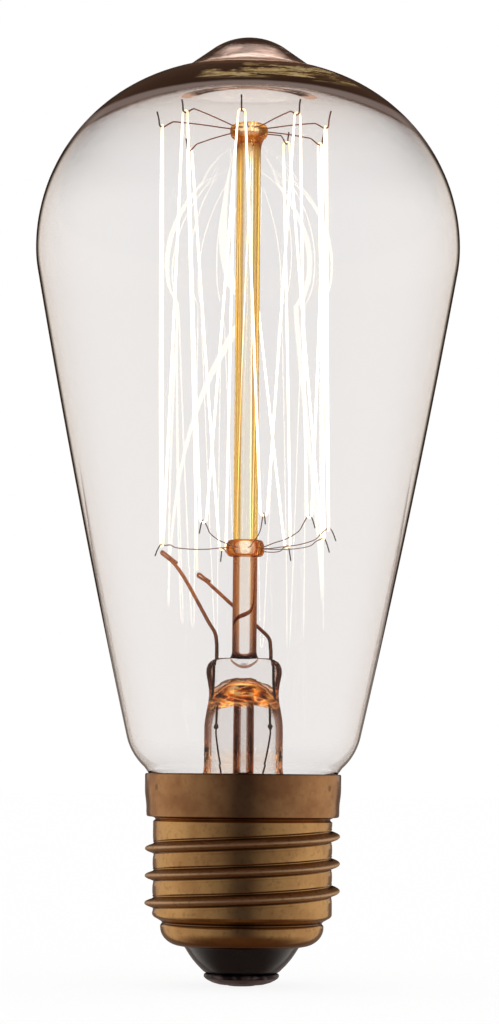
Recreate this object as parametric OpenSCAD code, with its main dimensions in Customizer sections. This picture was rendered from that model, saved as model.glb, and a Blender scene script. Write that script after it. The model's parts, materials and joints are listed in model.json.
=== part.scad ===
// Filament bulb with a screw cap, standing on its centre contact with the glass upwards.
// Millimetres. The lamp axis is Z, and the origin is the lowest point of the centre contact.
// The front is -Y, and an azimuth turns from the front towards +X.

/* [Glass envelope] */
// Largest diameter of the glass
glass_d = 58; // [57:0.5:59]
// Thickness of the blown wall
glass_wall = 0.7; // [0.5:0.1:0.8]
// Height of the widest place
widest_z = 99.8; // [99.4:0.1:100.2]
// Height of the sealed off tip
tip_z = 129.2; // [128.8:0.1:129.6]
// Radius of the crown above the widest place
crown_r = 25; // [24.5:0.1:25.5]
// Radius of the dome round the tip
dome_r = 38; // [37:0.5:39]

/* [Screw cap] */
// Diameter over the thread crests
thread_d = 26.2; // [26.05:0.05:26.45]
// Diameter in the thread roots
root_d = 24.1; // [24:0.05:24.2]
// Rise of the thread in one turn
thread_pitch = 3.629; // [3.6:0.001:3.65]
// Thickness of the brass sheet
cap_wall = 0.3; // [0.26:0.02:0.3]
// Diameter of the collar
collar_d = 26.4; // [26.4:0.02:26.5]

/* [Stem and wires] */
// Diameter of the glass rod
rod_d = 3.3; // [3:0.1:3.4]
// Diameter of the stem tube
stem_d = 10.6; // [10.4:0.1:10.8]
// Height of the upper hook wires where they leave the button
top_wire_z = 116.6; // [116.5:0.05:116.7]
// Height of the lower hook wires where they leave the bead
low_wire_z = 58.7; // [58.6:0.05:58.8]
// Diameter of the upper hook wires
top_wire_d = 0.24; // [0.2:0.02:0.24]
// Diameter of the lower hook wires
low_wire_d = 0.18; // [0.14:0.02:0.18]
// Diameter of the two lead wires
lead_d = 0.56; // [0.5:0.02:0.56]
// Diameter of the filament
filament_d = 0.4; // [0.3:0.02:0.4]

/* [Hidden] */
$fn = 96;

// Glass envelope
neck_r = 12.1;
neck_bottom_z = 24;
waist_z = 33.2;
side_r = 1490;
side_turn = 10.3;
crown_low_r = 18;
bulge_r = 8;
bulge_turn = 59;
tip_r = 8.9;
tip_flank = 37;
tip_fillet_r = 6.8;

// Stem, rod, button and bead
stem_r = stem_d / 2;
stem_wall = 0.8;
flare_z = 29.5;
press_top_z = 43.8;
cavity_top_z = 40;
rod_r = rod_d / 2;
rod_bottom_z = 42.6;
rod_top_z = 115.2;
button_r = 2.35;
button_h = 2.5;
bead_r = 2.6;
bead_h = 2.2;
exhaust_r = 1.6;
exhaust_bore_r = 0.9;
exhaust_end_z = 13;
vent_r = 0.45;

// Wires
lead_r = lead_d / 2;
top_wire_r = top_wire_d / 2;
low_wire_r = low_wire_d / 2;
filament_r = filament_d / 2;
outer_lead_r = 0.12;
left_seal_x = -3.72;
right_seal_x = 3.6;
seal_join_z = 42.6;
weld_z = 34.6;
weld_r = 0.5;
grip_r = 1;
bead_grip_r = 1.8;
hook_gap = 0.02;

// Each hook is bent by hand, so it has its own azimuth, radius, height and length of tail
top_hooks = [[280, 12.1, 116.4, 1.9], [314, 12, 116.9, 2], [355, 11.5, 116.4, 2.6],
    [35, 11.3, 116.5, 2.3], [72, 11, 116.1, 2.3], [118, 11.2, 115.8, 1.7],
    [152, 11.3, 117, 1.8], [188, 11.5, 116.3, 1.9], [227, 11.4, 115.4, 1.8]];
low_hooks = [[284, 11.5, 58.9, 1.6], [331, 11.5, 61.5, 1.8], [12, 11.5, 62.4, 1.5],
    [48, 11.4, 62.5, 1.7], [90, 11.3, 61.5, 1.7], [111, 11.4, 60.5, 1.9],
    [149, 11.4, 59.9, 2], [196, 11.5, 59.6, 1.8]];

// Routes of the leads, from inside the press to the fold that grips the filament
left_route = [[left_seal_x, 0, seal_join_z], [left_seal_x, 0, 45.8], [-4, 0.1, 47.2],
    [-4.95, 0.3, 48.8], [-6.6, 0.8, 51.8], [-8, 1.3, 54.3], [-9.2, 1.7, 56.1],
    [-10.2, 2.1, 57.1], [-11.1, 2.4, 57.8], [-11.4, 2.5, 58.15], [-11.25, 2.5, 58.45],
    [-10.8, 2.4, 58.4], [-10.2, 2.2, 57.95], [-9.2, 1.8, 57]];
right_route = [[right_seal_x, 0, seal_join_z], [right_seal_x, 0, 45.2], [3.3, 0.7, 46.6],
    [1.9, 2.4, 48.1], [0.1, 3.7, 49.8], [-1.7, 5, 51.3], [-4, 7.2, 53.5], [-5.2, 8.4, 54.6],
    [-6.2, 9.5, 55.3], [-6.5, 9.8, 55.65], [-6.35, 9.65, 55.95], [-5.9, 9.2, 55.95],
    [-5.4, 8.65, 55.6], [-4.6, 7.9, 54.95]];
left_tail = [[left_seal_x, 0, weld_z], [left_seal_x, 0, 33.4], [-3.4, 0, 31], [-2.96, 0, 28],
    [-2.6, 0.2, 22], [-2.3, 0.2, 15], [-1.3, 0.1, 11.6], [-0.3, 0, 9.6], [0, 0, 8.2],
    [0, 0, 0.8]];
right_tail = [[right_seal_x, 0, weld_z], [right_seal_x, 0, 33.4], [3.1, 0, 30.5], [2.6, 0.3, 28],
    [2.5, 1.2, 25.5], [2.2, 3.4, 23.2], [1.2, 7.4, 22.3], [0.3, 10.3, 22.7], [0, 11.5, 22.89],
    [0, 12.2, 22.98], [0, 12.38, 23.5], [0, 12.38, 27.2], [0, 12.6, 27.9], [0, 12.85, 28.33],
    [0, 13.2, 28.38], [0, 13.5, 28.33]];

// Cap
thread_r = thread_d / 2;
root_r = root_d / 2;
collar_r = collar_d / 2;
collar_top_z = 28.2;
collar_step_z = 24.6;
collar_step_r = 12.95;
collar_bottom_z = 22.5;
thread_top_z = 21.8;
thread_bottom_z = 9;
thread_fade = 1.8;
thread_columns = 60;
thread_rows = 30;
crest_z = 19.95;
crest_power = 1.3;
groove_r = 11.8;
groove_z = 22.1;
fit_gap = 0.03;
shoulder_r = 10.8;
shoulder_z = 7.8;
lip_r = 7.8;
lip_z = 5.1;
contact_r = 5.05;
contact_rim_z = 1.2;
contact_top_z = 1.7;
eyelet_r = 1.5;
eyelet_bore_r = 1.1;
eyelet_top_z = 7.4;
solder_r = 2;
insulator_top_z = 8.6;
rim_solder_r = 0.6;
rim_solder_z = 27.6;

module brass() { color([0.68, 0.5, 0.26]) children(); }
module amber() { color([0.9, 0.5, 0.12]) children(); }
module clear_glass() { color([0.88, 0.92, 0.94, 0.35]) children(); }
module copper() { color([0.62, 0.3, 0.14]) children(); }
module dark_wire() { color([0.32, 0.24, 0.22]) children(); }
module tin() { color([0.72, 0.73, 0.74]) children(); }

function arc_points(centre, r, from, to, steps) =
    [for (i = [0:steps]) let (a = from + (to - from) * i / steps)
        centre + r * [cos(a), sin(a)]];

function round_axis(azimuth, radius, z) = [radius * sin(azimuth), -radius * cos(azimuth), z];

// Half outline of the blown glass from the neck to the tip, taken in by inset
function glass_outline(inset) =
    let (
        crown = [glass_d / 2 - crown_r, widest_z],
        crown_end = acos(crown.x / (dome_r - crown_r)),
        dome = [0, widest_z - (dome_r - crown_r) * sin(crown_end)],
        crown_low = [glass_d / 2 - crown_low_r, widest_z],
        side = crown_low - (side_r - crown_low_r) * [cos(side_turn), -sin(side_turn)],
        waist_turn = asin((side.y - waist_z) / side_r),
        bulge = side + (side_r - bulge_r) * [cos(waist_turn), -sin(waist_turn)],
        tip = [0, tip_z - tip_r],
        outward = [sin(tip_flank), cos(tip_flank)],
        downward = [cos(tip_flank), -sin(tip_flank)],
        above = tip + (tip_r + tip_fillet_r) * outward - dome,
        reach = dome_r + tip_fillet_r,
        drop = above * downward,
        fillet = dome + above
            - (drop + sqrt(drop * drop - above * above + reach * reach)) * downward,
        dome_end = atan2(fillet.y - dome.y, fillet.x)
    )
    concat(
        arc_points(bulge, bulge_r - inset, -bulge_turn, -waist_turn, 10),
        arc_points(side, side_r - inset, -waist_turn, -side_turn, 16),
        arc_points(crown_low, crown_low_r - inset, -side_turn, 0, 4),
        arc_points(crown, crown_r - inset, 0, crown_end, 20),
        arc_points(dome, dome_r - inset, crown_end, dome_end, 6),
        arc_points(fillet, tip_fillet_r + inset, 180 + dome_end, 270 - tip_flank, 5),
        arc_points(tip, tip_r - inset, 90 - tip_flank, 90, 8));

module glass_envelope() {
    outer = glass_outline(0);
    inner = glass_outline(glass_wall);
    turn_back = [for (i = [len(inner) - 1:-1:0]) inner[i]];
    clear_glass() rotate_extrude()
        polygon(concat([[neck_r - glass_wall, neck_bottom_z], [neck_r, neck_bottom_z]],
            [[neck_r, outer[0].y]], outer, turn_back, [[neck_r - glass_wall, inner[0].y]]));
}

// Mouth of the stem, curving out to the neck of the envelope, where its rim is flat
function flare_mouth(r, rim_z) =
    let (bell_r = neck_r - glass_wall)
    concat([[neck_r, rim_z]],
        [for (a = [0:10:90])
            [bell_r - (bell_r - r) * sin(a), flare_z - (flare_z - rim_z) * cos(a)]]);

module press_body() {
    intersection() {
        rotate_extrude() polygon(concat(flare_mouth(stem_r, neck_bottom_z),
            [[stem_r, 35], [4.95, 36.8], [4.7, 38.5], [4.85, 40.2], [5.1, 41.7], [5, 42.7],
            [4.5, 43.4], [3.9, press_top_z], [0, press_top_z], [0, neck_bottom_z - stem_wall],
            [neck_r, neck_bottom_z - stem_wall]]));
        rotate([90, 0, 90]) linear_extrude(4 * neck_r, center = true)
            polygon([[-neck_r - 1, 20], [neck_r + 1, 20], [neck_r + 1, 34], [stem_r + 0.2, 35.2],
                [3.1, 38.6], [2.6, 40.6], [2.5, 43], [1.8, press_top_z], [-1.8, press_top_z],
                [-2.5, 43], [-2.6, 40.6], [-3.1, 38.6], [-stem_r - 0.2, 35.2],
                [-neck_r - 1, 34]]);
    }
}

module press_cavity() {
    bore_r = stem_r - stem_wall;
    floor_z = neck_bottom_z - stem_wall;
    intersection() {
        rotate_extrude() polygon(concat(flare_mouth(bore_r, floor_z),
            [[bore_r, 34.6], [4.2, 36.4], [3.5, 38], [2.7, 39.3], [1.9, cavity_top_z],
            [0, cavity_top_z], [0, floor_z - 1], [neck_r, floor_z - 1]]));
        rotate([90, 0, 90]) linear_extrude(4 * neck_r, center = true)
            polygon([[-neck_r - 1, 20], [neck_r + 1, 20], [neck_r + 1, 33], [bore_r + 0.2, 34.4],
                [2.3, 38], [1.9, cavity_top_z], [-1.9, cavity_top_z], [-2.3, 38],
                [-bore_r - 0.2, 34.4], [-neck_r - 1, 33]]);
    }
}

module stem_flare() {
    clear_glass() difference() {
        press_body();
        press_cavity();
        translate([0, 0, rod_bottom_z]) cylinder(r = rod_r, h = 4);
        translate([left_seal_x, 0, 36]) cylinder(r = lead_r, h = 10);
        translate([right_seal_x, 0, 36]) cylinder(r = lead_r, h = 10);
        translate([0, 0, cavity_top_z - 0.3]) rotate([-60, 0, 0]) cylinder(r = vent_r, h = 6);
    }
}

module exhaust_tube() {
    shrink = exhaust_r - exhaust_bore_r;
    clear_glass() rotate_extrude() polygon([[0, exhaust_end_z], [0.5, exhaust_end_z + 0.1],
        [exhaust_r, exhaust_end_z + 2], [exhaust_r, cavity_top_z],
        [exhaust_bore_r, cavity_top_z], [exhaust_bore_r, exhaust_end_z + 2.4],
        [0, exhaust_end_z + 2 * shrink]]);
}

module glass_rod() {
    amber() translate([0, 0, rod_bottom_z]) cylinder(r = rod_r, h = rod_top_z - rod_bottom_z);
}

module wire_holes(hooks, r, from, z) {
    for (hook = hooks) translate([0, 0, z]) rotate([0, 0, hook[0] - 90])
        translate([from, 0, 0]) rotate([0, 90, 0]) cylinder(r = r, h = 3, $fn = 24);
}

module top_button() {
    amber() difference() {
        translate([0, 0, rod_top_z]) rotate_extrude()
            polygon([[0, 0], [rod_r, 0], [2, 0.2], [2.25, 0.6], [button_r, 1.2], [2.27, 1.7],
                [2, 2.1], [1.4, 2.4], [0, button_h]]);
        wire_holes(top_hooks, top_wire_r, grip_r, top_wire_z);
    }
}

module lower_bead() {
    half = bead_h / 2;
    amber() difference() {
        translate([0, 0, low_wire_z]) rotate_extrude()
            polygon([[rod_r, -half], [2, -half + 0.12], [2.4, -0.6 * half],
                [bead_r, 0], [2.4, 0.6 * half], [2, half - 0.12], [rod_r, half]]);
        wire_holes(low_hooks, low_wire_r, bead_grip_r, low_wire_z);
    }
}

function unit(v) = v / norm(v);

// Direction of a route at point i, halfway between the stretches that meet there
function heading(points, i) =
    let (last = len(points) - 1)
    i == 0 ? unit(points[1] - points[0]) :
    i == last ? unit(points[last] - points[last - 1]) :
    unit(unit(points[i] - points[i - 1]) + unit(points[i + 1] - points[i]));

function ring(centre, along, side, r, sides) =
    let (across = unit(side - (side * along) * along), up = cross(along, across))
    [for (k = [0:sides - 1]) let (a = 360 * k / sides)
        centre + r * (cos(a) * across + sin(a) * up)];

// Round wire along a route, where sides_at holds one side direction for each point
module wire(points, sides_at, r, sides) {
    count = len(points);
    rings = [for (i = [0:count - 1])
        each ring(points[i], heading(points, i), sides_at[i], r, sides)];
    walls = [for (i = [0:count - 2], k = [0:sides - 1])
        let (a = i * sides + k, b = i * sides + (k + 1) % sides)
        each [[a, a + sides, b], [b, a + sides, b + sides]]];
    ends = [for (k = [1:sides - 2])
        each [[0, k, k + 1], (count - 1) * sides * [1, 1, 1] + [0, k + 1, k]]];
    polyhedron(points = rings, faces = concat(walls, ends));
}

module flat_wire(points, side, r, sides) {
    wire(points, [for (p = points) side], r, sides);
}

// Hook wire from the button: level, over a low hump, down to the notch and up to its tail
function top_hook_line(hook) =
    let (r = hook[1], z = hook[2], tail = hook[3])
    [[grip_r, top_wire_z], [2.8, top_wire_z], [0.55 * r, (top_wire_z + z + 0.7) / 2 + 0.1],
        [r - 1.9, z + 0.75], [r - 1.4, z + 0.68], [r - 0.9, z + 0.4], [r - 0.3, z + 0.02],
        [r + 0.15, z], [r + 0.38, z + 0.25], [r + 0.48, z + 0.5 * tail], [r + 0.75, z + tail]];

// Hook wire from the bead: a slight sag, a short climb to the peak and a tail down and outwards
function low_hook_line(hook) =
    let (r = hook[1], z = hook[2], tail = hook[3], rise = z - low_wire_z)
    [[bead_grip_r, low_wire_z], [3.2, low_wire_z],
        [0.45 * r, low_wire_z + 0.2 * rise - 0.15], [0.65 * r, low_wire_z + 0.35 * rise - 0.2],
        [r - 1.9, low_wire_z + 0.55 * rise - 0.1], [r - 1.1, low_wire_z + 0.72 * rise],
        [r - 0.35, z - 0.12], [r - 0.1, z], [r + 0.15, z], [r + 0.4, z - 0.25],
        [r + 0.7, z - 0.5 * tail], [r + 1, z - tail]];

module anchor(line, azimuth, r) {
    dark_wire() flat_wire([for (p = line) round_axis(azimuth, p.x, p.y)],
        round_axis(azimuth + 90, 1, 0), r, 6);
}

module top_anchor(number) {
    hook = top_hooks[number - 1];
    anchor(top_hook_line(hook), hook[0], top_wire_r);
}

module lower_anchor(number) {
    hook = low_hooks[number - 1];
    anchor(low_hook_line(hook), hook[0], low_wire_r);
}

module left_lead() {
    copper() flat_wire(left_route, [0, 1, 0], lead_r, 8);
}

module right_lead() {
    copper() flat_wire(right_route, unit([1, 1, 0]), lead_r, 8);
}

module seal_wire(x) {
    copper() translate([x, 0, weld_z]) cylinder(r = lead_r, h = seal_join_z - weld_z);
}

module left_seal_wire() { seal_wire(left_seal_x); }
module right_seal_wire() { seal_wire(right_seal_x); }

module weld_bead(x) {
    copper() translate([x, 0, weld_z]) difference() {
        sphere(r = weld_r);
        cylinder(r = lead_r, h = 2);
        translate([0, 0, -1]) cylinder(r = outer_lead_r, h = 1);
    }
}

module left_weld_bead() { weld_bead(left_seal_x); }
module right_weld_bead() { weld_bead(right_seal_x); }

module left_outer_lead() {
    tin() flat_wire(left_tail, [0, 1, 0], outer_lead_r, 6);
}

module right_outer_lead() {
    tin() flat_wire(right_tail, [1, 0, 0], outer_lead_r, 6);
}

// The hooks in the order in which the filament visits them, with +1 for an upper hook
function hook_stop(hook, level, wire_r) =
    [hook[0], hook[1], hook[2], level, wire_r + filament_r + hook_gap];
function top_stop(i) = hook_stop(top_hooks[i], 1, top_wire_r);
function low_stop(i) = hook_stop(low_hooks[i], -1, low_wire_r);
stops = [top_stop(0), low_stop(0), top_stop(1), low_stop(1), top_stop(2), low_stop(2),
    top_stop(3), low_stop(3), top_stop(4), low_stop(4), top_stop(5), low_stop(5),
    top_stop(6), low_stop(6), top_stop(7), low_stop(7), top_stop(8)];
filament_start = [-11.55, 2.6, 58.95];
filament_end = [-6.7, 10.1, 56.45];

// Half a turn of filament round a hook, as points and as directions away from the axis
function turn_points(stop) =
    let (centre = round_axis(stop[0], stop[1], stop[2]), along = round_axis(stop[0] + 90, 1, 0))
    [for (a = [-90:45:90])
        centre + stop[4] * (sin(a) * along + [0, 0, stop[3] * cos(a)])];
function turn_sides(stop) = [for (a = [-90:45:90]) round_axis(stop[0], 1, 0)];

module filament() {
    points = concat([filament_start], [for (stop = stops) each turn_points(stop)],
        [filament_end]);
    sides_at = concat([unit([-1, 0.2, 0])], [for (stop = stops) each turn_sides(stop)],
        [unit([-0.5, 0.9, 0])]);
    color([1, 0.86, 0.6]) wire(points, sides_at, filament_r, 6);
}

module basing_cement() {
    low_r = collar_step_r - cap_wall - fit_gap;
    high_r = collar_r - cap_wall - fit_gap;
    color([0.8, 0.77, 0.7]) difference() {
        rotate_extrude() polygon([[neck_r, neck_bottom_z - stem_wall],
            [low_r, neck_bottom_z - stem_wall], [low_r, collar_step_z + 0.2],
            [high_r, collar_step_z + 0.5], [high_r, collar_top_z - 0.5],
            [neck_r, collar_top_z - 0.5]]);
        translate([0, 12.38, 20]) cylinder(r = 0.25, h = 10, $fn = 24);
        translate([0, 12.6, 27.4]) cylinder(r = 0.4, h = 2, $fn = 24);
    }
}

// How far the thread stands out at a height and turn, fading away at both ends
function fade(z) =
    let (near = min(z - thread_bottom_z, thread_top_z - z) / thread_fade)
    near >= 1 ? 1 : near <= 0 ? 0 : (1 - cos(180 * near)) / 2;
function thread_lift(z, turn) =
    (thread_r - root_r) * fade(z)
        * pow((1 + cos(360 * (z - crest_z) / thread_pitch - turn)) / 2, crest_power);

// Rounded lower edge of the shell, from the lip out and up to the wall
function shoulder_line(inset) =
    [for (a = [-90:15:0])
        [lip_r + 0.2 + (shoulder_r - lip_r - 0.2 - inset) * cos(a),
        shoulder_z + (shoulder_z - lip_z - inset) * sin(a)]];

// Outline of the sheet from the lip to the rim: radius and height outside, then inside
shell_rows = let (
        w = cap_wall,
        outside = shoulder_line(0),
        inside = shoulder_line(w),
        step_z = (thread_top_z - thread_bottom_z) / thread_rows)
    concat(
        [[lip_r, lip_z, lip_r, lip_z + w]],
        [for (i = [0:len(outside) - 1]) concat(outside[i], inside[i])],
        [[shoulder_r, 8.15, shoulder_r - w, 8.35],
        [root_r - 0.3, 8.45, root_r - w - 0.35, 8.75],
        [root_r - 0.05, 8.65, root_r - w - 0.05, 8.9]],
        [for (j = [0:thread_rows])
            let (z = thread_bottom_z + step_z * j) [root_r, z, root_r - w, z]],
        [[groove_r, groove_z, groove_r - w, groove_z + 0.1],
        [root_r + 0.1, 22.4, groove_r - w + 0.1, 22.6],
        [collar_step_r - 0.1, collar_bottom_z, collar_step_r - w - 0.15, 22.8],
        [collar_step_r, 22.65, collar_step_r - w, 23],
        [collar_step_r, collar_step_z, collar_step_r - w, collar_step_z + 0.15],
        [collar_r, collar_step_z + 0.25, collar_r - w, collar_step_z + 0.4],
        [collar_r, collar_top_z - 0.1, collar_r - w, collar_top_z - 0.1],
        [collar_r - 0.08, collar_top_z, collar_r - w + 0.08, collar_top_z]]);

// Cap shell as one closed grid, its outside and its inside joined at the lip and at the rim
module cap_shell() {
    n = thread_columns;
    last = (len(shell_rows) - 1) * n;
    inner = last + n;
    outside = [for (row = shell_rows, i = [0:n - 1])
        let (a = 360 * i / n, r = row[0] + thread_lift(row[1], a))
        [r * cos(a), r * sin(a), row[1]]];
    inside = [for (row = shell_rows, i = [0:n - 1])
        let (a = 360 * i / n, r = row[2] + thread_lift(row[1], a))
        [r * cos(a), r * sin(a), row[3]]];
    walls = [for (j = [0:len(shell_rows) - 2], i = [0:n - 1])
        let (a = j * n + i, b = j * n + (i + 1) % n)
        each [[a, a + n, b], [b, a + n, b + n],
            [inner + a, inner + b, inner + a + n], [inner + b, inner + b + n, inner + a + n]]];
    edges = [for (i = [0:n - 1])
        let (k = (i + 1) % n)
        each [[i, k, inner + i], [k, inner + k, inner + i],
            [last + i, inner + last + i, last + k],
            [last + k, inner + last + i, inner + last + k]]];
    brass() polyhedron(points = concat(outside, inside), faces = concat(walls, edges));
}

module cap_insulator() {
    color([0.09, 0.08, 0.08]) rotate_extrude()
        polygon(concat([[eyelet_r, contact_top_z], [4.7, contact_top_z], [5.2, 2], [6.5, 3.4],
            [7.5, 4.75], [lip_r - fit_gap, lip_z], [lip_r - fit_gap, lip_z + cap_wall + fit_gap]],
            shoulder_line(cap_wall + fit_gap),
            [[9.8, 8.2], [9.3, insulator_top_z], [4.5, 7.2],
            [eyelet_r, 6.2]]));
}

module centre_contact() {
    brass() rotate_extrude() polygon([[eyelet_bore_r, 0.3], [solder_r, 0.12], [3.1, 0.24],
        [4.2, 0.6], [4.8, 0.95], [contact_r, contact_rim_z], [contact_r, 1.5],
        [4.85, contact_top_z], [eyelet_r, contact_top_z], [eyelet_r, eyelet_top_z],
        [eyelet_bore_r, eyelet_top_z]]);
}

module contact_solder() {
    tin() difference() {
        rotate_extrude() polygon([[0, 0], [1.7, 0], [solder_r, 0.12], [eyelet_bore_r, 0.3],
            [eyelet_bore_r, 1.6], [0.8, 2.1], [0, 2.3]]);
        translate([0, 0, 0.8]) cylinder(r = outer_lead_r, h = 3, $fn = 24);
    }
}

module rim_solder() {
    tin() difference() {
        translate([0, collar_r + 0.1, rim_solder_z]) sphere(r = rim_solder_r, $fn = 48);
        translate([0, 0, rim_solder_z - 2]) cylinder(r = collar_r, h = 4);
    }
}

glass_envelope();
stem_flare();
exhaust_tube();
glass_rod();
top_button();
lower_bead();
left_lead();
right_lead();
left_seal_wire();
right_seal_wire();
left_weld_bead();
right_weld_bead();
left_outer_lead();
right_outer_lead();
for (number = [1:len(top_hooks)])
    top_anchor(number);
for (number = [1:len(low_hooks)])
    lower_anchor(number);
filament();
basing_cement();
cap_shell();
cap_insulator();
centre_contact();
contact_solder();
rim_solder();
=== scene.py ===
import json
import math

import bpy
from mathutils import Matrix, Vector


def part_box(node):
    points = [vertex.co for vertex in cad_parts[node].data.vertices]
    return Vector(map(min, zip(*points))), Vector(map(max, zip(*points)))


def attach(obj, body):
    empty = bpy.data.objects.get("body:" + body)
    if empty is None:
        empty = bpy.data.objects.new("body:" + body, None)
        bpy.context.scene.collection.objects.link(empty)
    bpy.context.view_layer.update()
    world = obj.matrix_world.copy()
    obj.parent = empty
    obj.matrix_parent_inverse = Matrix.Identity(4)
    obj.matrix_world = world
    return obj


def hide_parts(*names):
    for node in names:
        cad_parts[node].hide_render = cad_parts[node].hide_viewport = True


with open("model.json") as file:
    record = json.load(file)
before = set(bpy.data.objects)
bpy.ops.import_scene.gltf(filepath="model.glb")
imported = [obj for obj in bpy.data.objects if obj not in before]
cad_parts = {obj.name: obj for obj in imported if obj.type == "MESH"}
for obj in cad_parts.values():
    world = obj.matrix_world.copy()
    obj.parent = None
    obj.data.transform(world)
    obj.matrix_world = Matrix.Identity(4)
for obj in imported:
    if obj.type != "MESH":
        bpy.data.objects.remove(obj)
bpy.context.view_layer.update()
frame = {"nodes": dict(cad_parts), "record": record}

mm = 0.001
joinWithin = 0.002 * mm                         # points closer than this become one


# Drawing helpers, all in millimetres

def deselectAll():
    bpy.ops.object.select_all(action="DESELECT")


def drawLine(name, points):                     # one point, extruded from place to place
    deselectAll()
    bpy.ops.mesh.primitive_plane_add(size=mm, location=(0, 0, 0))
    piece = bpy.context.object
    piece.name = piece.data.name = name
    bpy.ops.object.mode_set(mode="EDIT")
    bpy.ops.mesh.merge(type="CENTER")
    places = [Vector(point) * mm for point in points]
    bpy.ops.transform.translate(value=places[0])
    for here, there in zip(places, places[1:]):
        bpy.ops.mesh.extrude_region_move(TRANSFORM_OT_translate={"value": there - here})
    return piece


def closeMesh(angle):                           # joins doubled points, and smooths up to an angle
    bpy.ops.mesh.select_all(action="SELECT")
    bpy.ops.mesh.remove_doubles(threshold=joinWithin)
    bpy.ops.mesh.normals_make_consistent(inside=False)
    bpy.ops.object.mode_set(mode="OBJECT")
    bpy.ops.object.shade_smooth_by_angle(angle=math.radians(angle))


def lathe(name, outline, steps=128):            # outline: radius and height of each point
    piece = drawLine(name, [(radius, 0, height) for radius, height in outline])
    bpy.ops.mesh.select_all(action="SELECT")
    bpy.ops.mesh.spin(steps=steps, angle=2 * math.pi, center=(0, 0, 0), axis=(0, 0, 1))
    closeMesh(40)
    return piece


def tube(name, points, radius, roundness=3, thinner=None):      # a wire along a route
    drawLine(name, points)
    bpy.ops.object.mode_set(mode="OBJECT")
    bpy.ops.object.convert(target="CURVE")
    piece = bpy.context.object
    piece.data.bevel_depth = radius * mm
    piece.data.bevel_resolution = roundness
    piece.data.use_fill_caps = True
    for point in piece.data.splines[0].points:
        point.radius = thinner(Vector(point.co[:3]) / mm) if thinner else 1
    bpy.ops.object.convert(target="MESH")
    piece = bpy.context.object
    bpy.ops.object.mode_set(mode="EDIT")
    closeMesh(50)
    return piece


def smoothRoute(points, parts=6):               # a curve through every point
    route = [Vector(point) for point in points]
    route = [2 * route[0] - route[1]] + route + [2 * route[-1] - route[-2]]
    smooth = []
    for a, b, c, d in zip(route, route[1:], route[2:], route[3:]):
        for part in range(parts):
            t = part / parts
            smooth.append(0.5 * (2 * b + (c - a) * t + (2 * a - 5 * b + 4 * c - d) * t ** 2
                                 + (3 * b - a - 3 * c + d) * t ** 3))
    return smooth + [route[-2]]


def arcPoints(centre, radius, start, end, steps):
    angles = [math.radians(start + (end - start) * step / steps) for step in range(steps + 1)]
    return [(centre[0] + radius * math.cos(a), centre[1] + radius * math.sin(a)) for a in angles]


def roundAxis(azimuth, radius, height):         # azimuth from the front towards the right
    turn = math.radians(azimuth)
    return Vector((radius * math.sin(turn), -radius * math.cos(turn), height))


def smoothStep(low, high, value):
    share = min(max((value - low) / (high - low), 0), 1)
    return share * share * (3 - 2 * share)


def settle(piece, node, material):    # the piece stands for its CAD node
    piece.data.materials.clear()
    piece.data.materials.append(material)
    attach(piece, "root")
    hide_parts(node)


# Node helpers for the materials. A range is two limits, and where needed what they become.

def feed(tree, node, inputs):                   # links a socket, or sets a plain value
    for key, value in inputs.items():
        if isinstance(value, bpy.types.NodeSocket):
            tree.links.new(value, node.inputs[key])
        elif node.inputs[key].type == "RGBA":
            node.inputs[key].default_value = (*value, 1)
        else:
            node.inputs[key].default_value = value


def addNode(tree, kind, inputs, **settings):
    made = tree.nodes.new(kind)
    for key, value in settings.items():
        setattr(made, key, value)
    feed(tree, made, inputs)
    return made.outputs


def rampNode(tree, value, stops):               # stops: place and colour
    output = addNode(tree, "ShaderNodeValToRGB", {"Fac": value})["Color"]
    ramp = output.node.color_ramp
    ramp.elements[0].position = stops[0][0]
    ramp.elements[1].position = stops[-1][0]
    for place, colour in stops[1:-1]:
        ramp.elements.new(place)
    for element, (place, colour) in zip(ramp.elements, stops):
        element.color = (*colour, 1)
    return output


def mathNode(tree, operation, first, second=0.0, third=0.0):
    return addNode(tree, "ShaderNodeMath", {0: first, 1: second, 2: third},
                   operation=operation)[0]


def product(tree, *factors):
    whole = factors[0]
    for factor in factors[1:]:
        whole = mathNode(tree, "MULTIPLY", whole, factor)
    return whole


def rangeNode(tree, value, fromLow, fromHigh, toLow=0.0, toHigh=1.0):
    return addNode(tree, "ShaderNodeMapRange",
                   {"Value": value, "From Min": fromLow, "From Max": fromHigh,
                    "To Min": toLow, "To Max": toHigh}, interpolation_type="SMOOTHSTEP")["Result"]


def mixNode(tree, share, first, second):        # sockets 6 and 7 and output 2 are the colours
    return addNode(tree, "ShaderNodeMix", {0: share, 6: first, 7: second}, data_type="RGBA")[2]


def noiseNode(tree, scale, detail=4, stretch=(1, 1, 1), distortion=0.0):
    where = addNode(tree, "ShaderNodeTexCoord", {})["Object"]
    place = addNode(tree, "ShaderNodeMapping", {"Vector": where, "Scale": stretch})["Vector"]
    return addNode(tree, "ShaderNodeTexNoise", {
        "Vector": place, "Scale": scale, "Detail": detail, "Distortion": distortion})["Fac"]


def facingNode(tree):                           # 0 where the surface faces the eye, 1 at its edge
    return addNode(tree, "ShaderNodeLayerWeight", {"Blend": 0.5})["Facing"]


def placeNodes(tree):                           # to the right, back, up and off the axis, in mm
    where = addNode(tree, "ShaderNodeTexCoord", {})["Object"]
    where = addNode(tree, "ShaderNodeVectorMath", {0: where, 3: 1 / mm}, operation="SCALE")[0]
    right, back, up = addNode(tree, "ShaderNodeSeparateXYZ", {"Vector": where})
    across = addNode(tree, "ShaderNodeCombineXYZ", {"X": right, "Y": back})[0]
    radius = addNode(tree, "ShaderNodeVectorMath", {0: across}, operation="LENGTH")["Value"]
    return right, back, up, radius


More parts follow.
